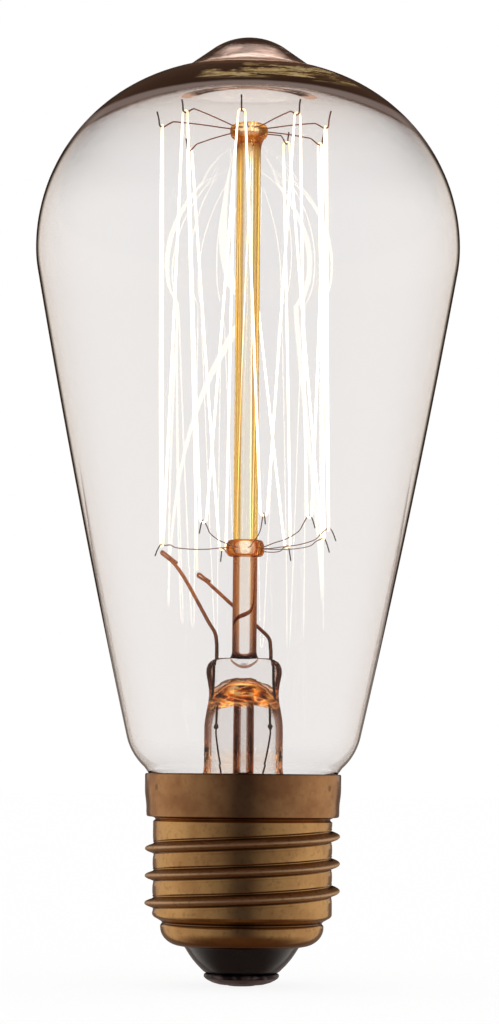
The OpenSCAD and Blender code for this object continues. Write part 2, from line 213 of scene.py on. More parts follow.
def mixShaders(tree, share, first, second):     # the mix is what the surface shows
    mixed = addNode(tree, "ShaderNodeMixShader", {0: share, 1: first, 2: second})[0]
    feed(tree, tree.nodes["Material Output"], {"Surface": mixed})
    return mixed


def emission(tree, colour):
    return addNode(tree, "ShaderNodeEmission", {"Color": colour})[0]


def addBump(tree, shader, height, strength, distance):
    bump = addNode(tree, "ShaderNodeBump",
                   {"Height": height, "Strength": strength, "Distance": distance * mm})
    feed(tree, shader, {"Normal": bump["Normal"]})


def newMaterial(name, inputs):                  # inputs: plain values of the main shader
    material = bpy.data.materials.new(name)
    material.use_nodes = True
    shader = material.node_tree.nodes["Principled BSDF"]
    feed(material.node_tree, shader, inputs)
    return material, material.node_tree, shader


# Camera at the photograph's angle
cameraValues = {
    "place": (0, -380, 27),      # millimetres from the lamp's foot
    "tiltUp": 5.509,             # degrees
    "turnRight": 0.08,
    "lean": 0.52,                # turns the lamp's top to the right
    "focal": 98.753,
    "frameHeight": 36,
    "clip": (0.01, 50),          # metres
}


def makeCamera(values):
    tilt, turn, lean = (math.radians(values[key]) for key in ("tiltUp", "turnRight", "lean"))
    ahead = Vector((math.sin(turn) * math.cos(tilt), math.cos(turn) * math.cos(tilt),
                    math.sin(tilt)))
    right = ahead.cross(Vector((0, 0, 1))).normalized()
    above = right.cross(ahead)
    up = math.cos(lean) * above - math.sin(lean) * right
    side = math.cos(lean) * right + math.sin(lean) * above
    lens = bpy.data.cameras.new("camera")
    lens.sensor_fit = "VERTICAL"
    lens.sensor_height = values["frameHeight"]
    lens.lens = values["focal"]
    lens.clip_start, lens.clip_end = values["clip"]
    camera = bpy.data.objects.new("camera", lens)
    bpy.context.scene.collection.objects.link(camera)
    camera.matrix_world = Matrix([(side[i], up[i], -ahead[i], values["place"][i] * mm)
                                  for i in range(3)] + [(0, 0, 0, 1)])
    bpy.context.scene.camera = camera


makeCamera(cameraValues)
bpy.context.scene.view_settings.view_transform = "Standard"
print("camera placed")

# Studio: a dark card in front, bright panels at both sides and a dark card behind the lamp.
# What is looked at straight or through clear glass is white.
studioValues = {
    "white": (1, 1, 1),
    "panels": [(0.045, (0.09, 0.085, 0.1)), (0.15, (0.28, 0.265, 0.25)),
               (0.33, (0.55, 0.52, 0.48)), (0.55, (0.9, 0.855, 0.79)), (0.77, (1.0, 0.95, 0.88)),
               (0.855, (0.95, 0.88, 0.8)), (0.885, (0.28, 0.22, 0.17)),
               (0.905, (0.03, 0.02, 0.015))],   # angle from the front in half turns, and colour
    "lowBack": (0.3, 0.25, 0.22),            # a darker strip low down behind the lamp
    "lowBackTurn": (0.795, 0.82), "lowBackRise": (0.007, 0.002),
    "ceiling": (0.11, 0.062, 0.04), "ceilingRise": (0.25, 0.6),
    "ground": (0.13, 0.08, 0.055), "groundRise": (-0.4, -0.9),
    "insideWall": (0.3, 0.15, 0.1),          # what the inner glass shows of light caught in it
    "insideDome": (0.1, 0.075, 0.065), "insideRise": (0.05, 0.8),
    "floorSize": 12.0,                       # metres
    "floorDrop": 0.02,                       # millimetres under the lamp's foot
    "floorColour": (0.97, 0.97, 0.97),
    "floorWhite": 0.88,                      # share of the floor that its shadow leaves white
    "floorReflected": (0.05, 0.033, 0.025),
}


def raysNode(tree):                             # camera rays, also through clear glass, see white
    light = addNode(tree, "ShaderNodeLightPath", {})
    clear = mathNode(tree, "LESS_THAN", light["Glossy Depth"], 0.5)
    through = product(tree, light["Is Transmission Ray"], clear)
    seen = mathNode(tree, "MAXIMUM", light["Is Camera Ray"], through)
    deep = mathNode(tree, "GREATER_THAN", light["Transmission Depth"], 2.5)     # in inner glass
    return seen, deep, light


def panelsAround(tree, right, back, values):    # the panels' colour on each side of the lamp
    turn = mathNode(tree, "ARCTAN2", mathNode(tree, "ABSOLUTE", right), product(tree, back, -1))
    turn = mathNode(tree, "DIVIDE", turn, math.pi)              # 0 in front, 1 behind
    return turn, rampNode(tree, turn, values["panels"])


def makeWorld(values):
    world = bpy.data.worlds.new("studio")
    bpy.context.scene.world = world
    world.use_nodes = True
    tree = world.node_tree
    way = addNode(tree, "ShaderNodeTexCoord", {})["Generated"]
    right, back, up = addNode(tree, "ShaderNodeSeparateXYZ", {"Vector": way})
    turn, around = panelsAround(tree, right, back, values)
    low = product(tree, rangeNode(tree, turn, *values["lowBackTurn"]),
                  rangeNode(tree, up, *values["lowBackRise"]))
    around = mixNode(tree, low, around, values["lowBack"])
    for part in ("ceiling", "ground"):
        around = mixNode(tree, rangeNode(tree, up, *values[part + "Rise"]), around, values[part])
    rising = rangeNode(tree, up, *values["insideRise"])
    seen, deep, light = raysNode(tree)
    caught = mixNode(tree, rising, values["insideWall"], values["insideDome"])
    around = mixNode(tree, deep, around, caught)
    seen = mathNode(tree, "MAXIMUM", seen, light["Is Diffuse Ray"])
    feed(tree, tree.nodes["Background"], {
        "Color": mixNode(tree, seen, around, values["white"]), "Strength": 1})


def makeFloor(values):
    deselectAll()
    bpy.ops.mesh.primitive_plane_add(size=values["floorSize"],
                                     location=(0, 0, -values["floorDrop"] * mm))
    floor = bpy.context.object
    floor.name = "floor"
    material, tree, shader = newMaterial("paleFloor", {
        "Base Color": values["floorColour"], "Roughness": 1, "Specular IOR Level": 0})
    seen, deep, light = raysNode(tree)
    pale = mixShaders(tree, product(tree, seen, values["floorWhite"]), shader.outputs[0],
                      emission(tree, values["white"]))
    right, back = placeNodes(tree)[:2]
    around = panelsAround(tree, right, back, values)[1]
    mirrored = mathNode(tree, "GREATER_THAN", light["Glossy Depth"], 0.5)
    mixShaders(tree, mirrored, pale,
               emission(tree, mixNode(tree, deep, around, values["floorReflected"])))
    floor.data.materials.append(material)
    floor.visible_glossy = False                # mirrors show the dark ground under the panels


makeWorld(studioValues)
makeFloor(studioValues)
print("studio ready")

# Glass finishes. Heights, radii and places across are in millimetres.

def glassMaterial(name, colour):
    return newMaterial(name, {"Base Color": colour, "Transmission Weight": 1, "Roughness": 0,
                              "IOR": 1.5})


def letLightIn(tree, shader, tint):             # the wires inside get the lamp's light
    clear = addNode(tree, "ShaderNodeBsdfTransparent", {"Color": tint})[0]
    light = addNode(tree, "ShaderNodeLightPath", {})
    passing = mathNode(tree, "MAXIMUM", light["Is Shadow Ray"], light["Is Diffuse Ray"])
    return mixShaders(tree, passing, shader.outputs[0], clear)


def paintCaughtLight(tree, usual, values):            # painted light: glowing streaks, patches, band and tip where light goes on turning inside the dome's wall
    right, back, height, radius = placeNodes(tree)
    place = addNode(tree, "ShaderNodeCombineXYZ", {
        "X": product(tree, right, values["streakAlong"]),
        "Y": product(tree, back, values["streakAlong"]),
        "Z": product(tree, radius, values["streakOut"])})[0]
    streaks = addNode(tree, "ShaderNodeTexNoise", {
        "Vector": place, "Scale": 1, "Detail": 3, "Distortion": 0.5})["Fac"]
    inner = mathNode(tree, "MULTIPLY_ADD", product(tree, right, right), -values["darkSides"],
                     radius)
    band = mixNode(tree, rangeNode(tree, inner, *values["paleRadius"]), values["band"],
                   values["pale"])
    turn = mathNode(tree, "ARCTAN2", right, product(tree, back, -1))
    turn = mathNode(tree, "MULTIPLY_ADD", turn, values["patches"],
                    -values["patches"] * math.radians(values["patchAt"]))
    ragged = rangeNode(tree, noiseNode(tree, values["raggedScale"], 3), *values["ragged"])
    patch = mathNode(tree, "ADD", mathNode(tree, "COSINE", turn), ragged)
    top = product(tree, rangeNode(tree, radius, *values["streakRadius"]),
                  rangeNode(tree, patch, *values["patchEdge"]))
    band = mixNode(tree, top, band, rampNode(tree, streaks, values["streaks"]))
    tip = rampNode(tree, rangeNode(tree, radius, 0, values["tipScale"]), values["tip"])
    band = mixNode(tree, rangeNode(tree, radius, *values["tipRadius"]), band, tip)
    light = addNode(tree, "ShaderNodeLightPath", {})
    caught = product(tree, mathNode(tree, "GREATER_THAN", light["Glossy Depth"], 1.5),
                     rangeNode(tree, height, *values["domeHeight"]))
    mixShaders(tree, caught, usual, emission(tree, band))


def makeEnvelopeGlass(values):
    material, tree, shader = glassMaterial("envelopeGlass", values["tint"])
    back, height, radius = placeNodes(tree)[1:]
    light = addNode(tree, "ShaderNodeLightPath", {})
    streaks = noiseNode(tree, values["tintScale"], 3, values["tintStretch"])
    tint = mixNode(tree, streaks, values["tint"], values["tintStreak"])
    top = rangeNode(tree, height, *values["warmHeight"])
    tint = mixNode(tree, top, tint, values["warm"])
    # painted shade: the tip's outer edge is darkened where its surface turns from the eye
    rim = product(tree, rangeNode(tree, facingNode(tree), *values["rimShadeFacing"]),
                  rangeNode(tree, height, *values["rimShadeHeight"]),
                  mathNode(tree, "LESS_THAN", light["Transmission Depth"], 0.5))
    waves = noiseNode(tree, values["waveScale"], 2, values["waveStretch"], 0.8)
    waves = product(tree, waves, top)
    # painted highlight: a reflection glowing on the front of the dome, under the tip
    paintedShine = product(tree, rangeNode(tree, height, *values["shineLow"]),
                    rangeNode(tree, height, *values["shineHigh"]),
                    rangeNode(tree, radius, *values["shineRadius"]),
                    rangeNode(tree, mathNode(tree, "DIVIDE", back, radius),
                              *values["shineFront"]),
                    rangeNode(tree, waves, *values["shineWaves"]),
                    mathNode(tree, "LESS_THAN", light["Glossy Depth"], 0.5))
    feed(tree, shader, {"Base Color": mixNode(tree, rim, tint, values["darkRim"]),
                        "Emission Color": values["paintedShine"], "Emission Strength": paintedShine})
    addBump(tree, shader, waves, *values["waveBump"])
    paintCaughtLight(tree, letLightIn(tree, shader, values["tint"]), values)
    return material


def footFlecks(tree, height, values):           # painted glints of the filament's light low down in the glass
    flecks = noiseNode(tree, values["fleckScale"], 3)
    return product(tree, rangeNode(tree, height, *values["footHeight"]),
                   rangeNode(tree, flecks, *values["fleck"]))


def makeStemGlass(values):
    material, tree, shader = glassMaterial("stemGlass", values["tint"])
    right, back, height, radius = placeNodes(tree)
    across = mathNode(tree, "ABSOLUTE", right)
    square = product(tree, right, right)
    # painted light: a glowing caustic arch of rings in the press
    ripple = noiseNode(tree, values["rippleScale"], 3, values["rippleStretch"], 0.8)
    away = mathNode(tree, "SUBTRACT", height, values["ringHeight"])
    away = mathNode(tree, "SQRT", mathNode(tree, "MULTIPLY_ADD", square, values["ringFlat"],
                                           product(tree, away, away)))
    rings = mathNode(tree, "MULTIPLY_ADD", ripple, values["ringRagged"],
                     product(tree, away, values["rings"]))
    rings = mathNode(tree, "MULTIPLY_ADD", mathNode(tree, "SINE", rings), values["ringShare"],
                     ripple)
    amber = rampNode(tree, rings, values["amber"])
    arch = mathNode(tree, "MULTIPLY_ADD", square, values["archDrop"], height)
    arch = mathNode(tree, "MULTIPLY_ADD", ripple, values["archRagged"], arch)
    low = mathNode(tree, "MULTIPLY_ADD", ripple, values["lowRagged"], height)
    low = rangeNode(tree, low, *values["amberLow"])
    band = product(tree, low, rangeNode(tree, arch, *values["amberHigh"]))
    # painted shade: the stem's walls darken to brown where their surface turns from the eye
    edge = rangeNode(tree, facingNode(tree), *values["edgeFacing"])
    foot = footFlecks(tree, height, values)
    rim = mixNode(tree, foot, values["edge"], values["footGlint"])
    # painted reflection of the glow: a warm tint low on the stem
    warm = product(tree, rangeNode(tree, height, *values["warmHeight"]),
                   rangeNode(tree, ripple, *values["warmRipple"]))
    body = mixNode(tree, edge, mixNode(tree, warm, values["tint"], values["warm"]), rim)
    shade = mixNode(tree, rangeNode(tree, ripple, *values["sideRipple"]), values["sideDark"],
                    values["side"])
    side = product(tree, rangeNode(tree, across, *values["sideAcross"]),
                   rangeNode(tree, height, *values["pressHeight"]))
    body = mixNode(tree, side, body, shade)
    # painted shade: a dark line along the caustic's top edge
    line = product(tree, mathNode(tree, "COMPARE", arch, values["lineAt"], values["lineHalf"]),
                   low)
    body = mixNode(tree, line, body, values["line"])
    smile = mathNode(tree, "MULTIPLY_ADD", square, -values["smileRise"], height)
    smile = mathNode(tree, "ABSOLUTE", mathNode(tree, "SUBTRACT", smile, values["smileAt"]))
    smile = product(tree, rangeNode(tree, smile, *values["smileHalf"]),
                    rangeNode(tree, across, *values["smileAcross"]))
    body = mixNode(tree, smile, body, values["smile"])          # painted refraction of the rod's foot, seen through the press
    # the emission is painted light: glints at the foot and the caustic's glow
    strength = mathNode(tree, "MULTIPLY_ADD", product(tree, foot, edge), values["footGlow"],
                        product(tree, band, values["amberGlow"]))
    feed(tree, shader, {"Base Color": mixNode(tree, band, body, amber),
                        "Emission Color": mixNode(tree, band, values["footGlint"], amber),
                        "Emission Strength": strength})
    return material


def makeExhaustGlass(values):                   # a thick-walled narrow tube, with painted shade at its wall edges, a lighter bore between and painted glints low down
    material, tree, shader = glassMaterial("exhaustGlass", values["tint"])
    height = placeNodes(tree)[2]
    edge = facingNode(tree)
    colour = rampNode(tree, edge, [(place, values[key]) for place, key in values["across"]])
    glint = product(tree, footFlecks(tree, height, values),
                    rangeNode(tree, edge, *values["glintFacing"]))
    feed(tree, shader, {"Base Color": mixNode(tree, glint, colour, values["footGlint"])})
    return material


def makeEdgeLitGlass(name, values):               # clear in its middle; at its edges, painted amber light of the filament and painted shade
    material, tree, shader = glassMaterial(name, (1, 1, 1))
    height = placeNodes(tree)[2]
    edge = facingNode(tree)
    colour = rampNode(tree, edge, values["ramps"][0][1])
    for limits, ramp in values["ramps"][1:]:    # from the foot up
        colour = mixNode(tree, rangeNode(tree, height, *limits), colour,
                         rampNode(tree, edge, ramp))
    streaks = noiseNode(tree, values["streakScale"], 3, values["streakStretch"])
    streaks = rangeNode(tree, streaks, *values["streakRange"], 0, values["streakShare"])
    colour = mixNode(tree, streaks, colour, values["streak"])
    # painted glow: the glass gives off its own ramp colour as light
    feed(tree, shader, {"Base Color": colour, "Emission Color": colour,
                        "Emission Strength": values["glow"]})
    return material


envelopeGlass = makeEnvelopeGlass({
    "tint": (0.961, 0.95, 0.944), "tintStreak": (0.97, 0.959, 0.953), "tintScale": 60,
    "tintStretch": (1, 1, 0.35), "warm": (0.96, 0.88, 0.83), "warmHeight": (116, 125),
    "waveScale": 260, "waveStretch": (1, 1, 2.2), "waveBump": (0.12, 1.0),
    # the dark rim is painted shade at the edge of the tip
    "darkRim": (0.1, 0.075, 0.07), "rimShadeFacing": (0.54, 0.64), "rimShadeHeight": (124.6, 125.4),
    # painted highlight on the front of the dome
    "paintedShine": (0.44, 0.3, 0.24), "shineLow": (123, 124), "shineHigh": (127, 126.2),
    "shineRadius": (11.8, 11), "shineFront": (-0.76, -0.88), "shineWaves": (0.4, 0.6, 0.3, 1),
    # the tip, band, pale ring and streaks below are painted light caught in the dome's wall
    "tip": [(0.55, (0.06, 0.045, 0.042)), (0.65, (0.85, 0.56, 0.42)), (0.9, (0.85, 0.52, 0.36)),
            (0.93, (0.06, 0.025, 0.012))],
    "tipScale": 12, "tipRadius": (11.7, 11.5), "band": (0.024, 0.01, 0.006),
    "pale": (0.2, 0.15, 0.135), "paleRadius": (18.1, 18.9), "darkSides": 0.008,
    "domeHeight": (112, 114), "streakRadius": (18, 16.2), "patches": 3, "patchAt": 18,
    "patchEdge": (-0.15, 0.1), "ragged": (0.35, 0.65, -0.5, 0.5), "raggedScale": 170,
    "streakAlong": 0.11, "streakOut": 0.9,
    "streaks": [(0.34, (0.012, 0.004, 0.001)), (0.44, (0.06, 0.03, 0.01)),
                (0.5, (0.35, 0.235, 0.09)), (0.57, (0.5, 0.38, 0.2)), (0.63, (0.05, 0.022, 0.008)),
                (0.7, (0.4, 0.26, 0.1))]})
stemGlass = makeStemGlass({
    "tint": (0.99, 0.975, 0.965), "edge": (0.2, 0.085, 0.055), "edgeFacing": (0.52, 0.64),
    # the caustic arch is painted light of the filament in the press
    "amber": [(0.3, (0.04, 0.01, 0.004)), (0.42, (0.4, 0.1, 0.02)), (0.49, (1.0, 0.36, 0.05)),
              (0.56, (1.0, 0.7, 0.32)), (0.64, (0.22, 0.05, 0.015))],
    "amberLow": (38.6, 39.1), "amberHigh": (41.9, 41.1), "amberGlow": 0.3, "lowRagged": 2.5,
    "archDrop": 0.14, "archRagged": 1.6, "rippleScale": 330, "rippleStretch": (1, 1, 1.8),
    "ringHeight": 39.4, "ringFlat": 0.16, "rings": 6, "ringRagged": 9, "ringShare": 0.09,
    "footHeight": (33.5, 30), "footGlint": (1.0, 0.42, 0.16), "footGlow": 0.45,
    "fleckScale": 1300, "fleck": (0.45, 0.6), "warm": (1.0, 0.93, 0.87),
    "warmHeight": (31.8, 30.6), "warmRipple": (0.42, 0.58, 0.25, 1), "pressHeight": (35.5, 37.5),
    "side": (0.42, 0.16, 0.08), "sideDark": (0.12, 0.04, 0.02), "sideAcross": (3.7, 4.3),
    "sideRipple": (0.4, 0.6), "line": (0.06, 0.02, 0.01), "lineAt": 41.65, "lineHalf": 0.2,
    "smile": (0.2, 0.06, 0.03), "smileAt": 42.5, "smileRise": 0.3, "smileHalf": (0.28, 0.12),
    "smileAcross": (2, 1.7)})
exhaustGlass = makeExhaustGlass({
    "tint": (0.985, 0.97, 0.96), "edge": (0.18, 0.075, 0.05), "gap": (0.8, 0.66, 0.6),
    "across": [(0.06, "tint"), (0.13, "edge"), (0.4, "edge"), (0.5, "gap"), (0.62, "gap"),
               (0.72, "edge")],
    "footHeight": (33, 30), "footGlint": (0.85, 0.3, 0.1), "fleckScale": 1300,
    "fleck": (0.4, 0.6), "glintFacing": (0.08, 0.2)})
# painted light and shade along the rod: edges dark brown low down, lit amber higher up
rodGlass = makeEdgeLitGlass("rodGlass", {
    "ramps": [
        (None, [(0.07, (1.0, 0.93, 0.86)), (0.1, (0.9, 0.38, 0.1)), (0.14, (0.22, 0.05, 0.012)),
                (0.36, (0.36, 0.1, 0.025)), (0.6, (0.5, 0.16, 0.035)), (0.8, (0.2, 0.06, 0.02))]),
        ((52.5, 43.5), [(0.07, (0.99, 0.95, 0.93)), (0.1, (0.5, 0.2, 0.1)),
                        (0.13, (0.1, 0.025, 0.012)), (0.45, (0.1, 0.03, 0.016)),
                        (0.75, (0.06, 0.015, 0.008))]),
        ((57.5, 59.5), [(0.05, (1.0, 0.97, 0.86)), (0.1, (0.8, 0.45, 0.13)),
                        (0.14, (0.32, 0.12, 0.02)), (0.2, (0.95, 0.58, 0.1)),
                        (0.5, (1.0, 0.82, 0.3)), (0.8, (0.6, 0.28, 0.04))]),
        ((110.5, 115.5), [(0.05, (0.95, 0.6, 0.25)), (0.1, (0.8, 0.35, 0.08)),
                          (0.2, (0.3, 0.09, 0.02)), (0.5, (0.6, 0.25, 0.06)),
                          (0.8, (0.2, 0.06, 0.02))])],
    "streak": (1.0, 0.85, 0.55), "streakScale": 900, "streakStretch": (1, 1, 0.06),
    "streakRange": (0.35, 0.65), "streakShare": 0.05, "glow": 0})
# painted glints and shade in the bead's and button's amber, and a painted glow
beadGlass = makeEdgeLitGlass("beadGlass", {
    "ramps": [(None, [(0.12, (1.0, 0.95, 0.85)), (0.16, (1.0, 0.62, 0.2)),
                      (0.2, (0.5, 0.13, 0.015)), (0.3, (1.0, 0.36, 0.05)),
                      (0.5, (0.4, 0.1, 0.012)), (0.75, (1.0, 0.4, 0.06)),
                      (0.92, (0.3, 0.07, 0.012))])],
    "streak": (0.35, 0.08, 0.012), "streakScale": 1300, "streakStretch": (1, 1, 1),
    "streakRange": (0.35, 0.65), "streakShare": 0.25, "glow": 0.12})
buttonGlass = makeEdgeLitGlass("buttonGlass", {
    "ramps": [(None, [(0.1, (1.0, 0.92, 0.75)), (0.2, (1.0, 0.6, 0.2)), (0.35, (0.8, 0.25, 0.04)),
                      (0.6, (1.0, 0.48, 0.1)), (0.9, (0.4, 0.1, 0.015))])],
    "streak": (0.5, 0.14, 0.02), "streakScale": 1300, "streakStretch": (1, 1, 1),
    "streakRange": (0.35, 0.65), "streakShare": 0.2, "glow": 0.16})


# Metal finishes
wireValues = {"spotRange": (0.4, 0.75), "spotRough": 0.3, "bump": (0.3, 0.03)}


def makeWireMetal(name, values):                # two tones along the height, with fine mottling
    material, tree, shader = newMaterial(name, {"Metallic": values["metallic"]})
    height, radius = placeNodes(tree)[2:]
    share = rangeNode(tree, height, *values["height"])
    colour = mixNode(tree, share, values["low"], values["high"])
    spots = noiseNode(tree, values["spotScale"], 5)
    colour = mixNode(tree, rangeNode(tree, spots, *wireValues["spotRange"]), colour,
                     values["spot"])
    if "tail" in values:
        colour = mixNode(tree, rangeNode(tree, radius, *values["tailRadius"]), colour,
                         values["tail"])
    feed(tree, shader, {"Base Color": colour, "Roughness": mathNode(
        tree, "MULTIPLY_ADD", spots, wireValues["spotRough"], values["roughness"])})
    addBump(tree, shader, spots, *wireValues["bump"])
    return material


copperWire = makeWireMetal("copperWire", {
    "low": (0.09, 0.03, 0.018), "high": (0.62, 0.2, 0.055), "spot": (0.3, 0.085, 0.03),
    "height": (43.5, 54), "spotScale": 1500, "roughness": 0.25, "metallic": 0.35})
sealWire = makeWireMetal("sealWire", {
    "low": (0.05, 0.022, 0.018), "high": (0.13, 0.045, 0.025), "spot": (0.08, 0.03, 0.02),
    "height": (34, 43), "spotScale": 1500, "roughness": 0.35, "metallic": 0.4})
weldMetal = makeWireMetal("weldMetal", {
    "low": (0.04, 0.022, 0.018), "high": (0.08, 0.04, 0.03), "spot": (0.03, 0.015, 0.012),
    "height": (33, 36), "spotScale": 2200, "roughness": 0.4, "metallic": 0.4})
thinWire = makeWireMetal("thinWire", {
    "low": (0.16, 0.08, 0.05), "high": (0.07, 0.035, 0.028), "spot": (0.15, 0.09, 0.07),
    "height": (25, 34), "spotScale": 2000, "roughness": 0.35, "metallic": 0.4})
hookWire = makeWireMetal("hookWire", {
    "low": (0.34, 0.18, 0.14), "high": (0.34, 0.13, 0.075), "spot": (0.2, 0.09, 0.06),
    "height": (60, 116), "spotScale": 2500, "roughness": 0.35, "metallic": 0.3,
    "tail": (0.07, 0.045, 0.04), "tailRadius": (11.5, 12)})
solder = makeWireMetal("solder", {
    "low": (0.13, 0.11, 0.11), "high": (0.45, 0.43, 0.4), "spot": (0.25, 0.22, 0.2),
    "height": (0, 25), "spotScale": 700, "roughness": 0.3, "metallic": 0.9})
contactMetal = makeWireMetal("contactMetal", {
    "low": (0.3, 0.23, 0.25), "high": (0.015, 0.01, 0.01), "spot": (0.2, 0.15, 0.15),
    "height": (0.9, 1.1), "spotScale": 800, "roughness": 0.3, "metallic": 0.9})


def makeBrass(values):
    material, tree, shader = newMaterial("brass", {
        "Metallic": 1, "Specular Tint": values["darkRim"]})     # darker at a glance
    right, back, height, radius = placeNodes(tree)
    mottle = noiseNode(tree, values["mottleScale"], 6)
    grain = noiseNode(tree, values["grainScale"], 4)
    colour = mixNode(tree, rangeNode(tree, mottle, *values["landMottle"]), values["land"],
                     values["landDark"])
    turn = product(tree, mathNode(tree, "ARCTAN2", back, right), -0.5 / math.pi)
    climb = mathNode(tree, "SUBTRACT", height, values["crestAt"])
    place = mathNode(tree, "MULTIPLY_ADD", climb, 1 / values["pitch"], turn)
    signed = mathNode(tree, "WRAP", place, 0.5, -0.5)
    crest = mathNode(tree, "MULTIPLY_ADD", signed, -values["pitch"], height)
    place = mathNode(tree, "PINGPONG", place, 0.5)              # 0 on a crest, 0.5 between two
    # the thread's colours: crest, flank, painted shade in the groove, then land
    thread = rampNode(tree, place, [(stop, values[key]) for stop, key in values["thread"]])
    thread = mixNode(tree, rangeNode(tree, place, *values["landFrom"]), thread, colour)
    cut = product(tree, rangeNode(tree, crest, *values["threadLow"]),
                  rangeNode(tree, crest, *values["threadHigh"]))        # fades at both ends
    colour = mixNode(tree, cut, colour, thread)
    # painted shade in the neck groove and the low groove, where the cap is drawn in
    neck = mathNode(tree, "GREATER_THAN", height, values["neckAbove"])
    low = product(tree, rangeNode(tree, height, *values["lowGrooveLow"]),
                  rangeNode(tree, height, *values["lowGrooveHigh"]))
    grooveShade = product(tree, rangeNode(tree, radius, *values["grooveRadius"]),
                     mathNode(tree, "MAXIMUM", neck, low))
    colour = mixNode(tree, grooveShade, colour, values["grooveShade"])
    # painted shade: the shoulder darkens towards its bottom, which faces down
    shoulder = rangeNode(tree, height, *values["shoulderHeight"])
    colour = mixNode(tree, shoulder, colour, values["collarDark"])
    brown = mixNode(tree, rangeNode(tree, mottle, *values["collarMottle"]), values["collar"],
                    values["collarDark"])
    colour = mixNode(tree, rangeNode(tree, height, *values["collarHeight"]), colour, brown)
    colour = mixNode(tree, rangeNode(tree, grain, *values["stainGrain"]), colour, values["stain"])
    # painted shade along the top edge of the collar
    rim = rangeNode(tree, height, *values["rimShadeHeight"])
    colour = mixNode(tree, rim, colour, values["grooveShade"])
    where = addNode(tree, "ShaderNodeCombineXYZ", {
        "X": mathNode(tree, "ABSOLUTE", right), "Y": back, "Z": height})[0]
    away = addNode(tree, "ShaderNodeVectorMath", {0: where, 1: values["punch"]},
                   operation="DISTANCE")["Value"]
    pressed = rangeNode(tree, away, *values["punchRadius"])     # a punch mark on each side, its dent darkened with painted shade
    colour = mixNode(tree, product(tree, pressed, values["punchShade"]), colour,
                     values["grooveShade"])
    rough = mathNode(tree, "MULTIPLY_ADD", mottle, values["mottleRough"], values["roughness"])
    ridge = product(tree, cut, rangeNode(tree, place, *values["ridge"]))
    rough = mathNode(tree, "MULTIPLY_ADD", ridge, values["ridgeRough"], rough)
    feed(tree, shader, {"Base Color": colour, "Roughness": rough})
    relief = mathNode(tree, "MULTIPLY_ADD", pressed, -values["punchDepth"], grain)
    addBump(tree, shader, relief, *values["bump"])
    return material


brass = makeBrass({
    "land": (0.54, 0.31, 0.125), "landDark": (0.42, 0.225, 0.09), "crest": (0.6, 0.39, 0.23),
    "flank": (0.62, 0.4, 0.22), "grooveShade": (0.15, 0.08, 0.04), "collar": (0.4, 0.21, 0.095),
    "collarDark": (0.28, 0.13, 0.058), "stain": (0.22, 0.11, 0.055), "darkRim": (0.68, 0.65, 0.63),
    "thread": [(0.05, "crest"), (0.13, "flank"), (0.17, "grooveShade"), (0.2, "grooveShade"),
               (0.235, "land")],
    "landFrom": (0.2, 0.25), "landMottle": (0.35, 0.7), "crestAt": 19.95, "pitch": 3.629,
    "threadLow": (9.8, 10.8), "threadHigh": (21.6, 20.6), "neckAbove": 20,
    "lowGrooveLow": (8.1, 8.2), "lowGrooveHigh": (8.9, 8.5), "grooveRadius": (11.9, 11.7),
    "shoulderHeight": (6.6, 5.3), "collarHeight": (21.9, 22.4), "collarMottle": (0.35, 0.65),
    "stainGrain": (0.5, 0.75, 0, 0.4), "rimShadeHeight": (27.95, 28.12),
    "punch": (11.45, -6.57, 26.35), "punchRadius": (0.6, 0.25), "punchShade": 0.7,
    "punchDepth": 6, "mottleScale": 220, "grainScale": 1400, "bump": (0.2, 0.04),
    "roughness": 0.13, "mottleRough": 0.12, "ridge": (0.19, 0.12), "ridgeRough": 0.3})


def makeCement(values):
    material, tree, shader = newMaterial("cement", {"Roughness": values["roughness"]})
    grit = noiseNode(tree, values["gritScale"], 8)
    feed(tree, shader, {"Base Color": mixNode(tree, grit, values["pale"], values["dark"])})
    addBump(tree, shader, grit, *values["bump"])
    return material


cement = makeCement({"pale": (0.66, 0.6, 0.5), "dark": (0.45, 0.38, 0.3), "gritScale": 900,
                     "roughness": 0.9, "bump": (0.6, 0.15)})


def makeBlackGlass(values):
    material, tree, shader = newMaterial("blackGlass", {})
    swirl = noiseNode(tree, values["swirlScale"], 4)
    feed(tree, shader, {
        "Base Color": mixNode(tree, swirl, values["dark"], values["pale"]),
        "Roughness": mathNode(tree, "MULTIPLY_ADD", swirl, values["swirlRough"],
                              values["roughness"])})
    addBump(tree, shader, swirl, *values["bump"])
    return material


blackGlass = makeBlackGlass({
    "dark": (0.004, 0.003, 0.004), "pale": (0.012, 0.009, 0.01), "swirlScale": 240,
    "roughness": 0.08, "swirlRough": 0.12, "bump": (0.2, 0.1)})


def makeGlow(values):                           # white hot, and yellower where the hooks cool it
    material, tree, shader = newMaterial("glow", {})
    height = placeNodes(tree)[2]
    waver = rangeNode(tree, noiseNode(tree, values["waverScale"], 2), *values["waver"])
    heat = product(tree, rangeNode(tree, height, *values["topCool"]),
                   rangeNode(tree, height, *values["footCool"]), waver)
    colour = mixNode(tree, heat, values["warm"], values["hot"])
    feed(tree, shader, {"Base Color": colour, "Emission Color": colour,
                        "Emission Strength": rangeNode(tree, heat, 0, 1, *values["strength"])})
    return material


glow = makeGlow({
    "hot": (1.0, 0.84, 0.6), "warm": (1.0, 0.82, 0.52), "topCool": (117.2, 112.2),
    "footCool": (58.5, 62.5), "waverScale": 150, "waver": (0.2, 0.6, 0.85, 1),
    "strength": (1, 3.6)})
print("finishes ready")

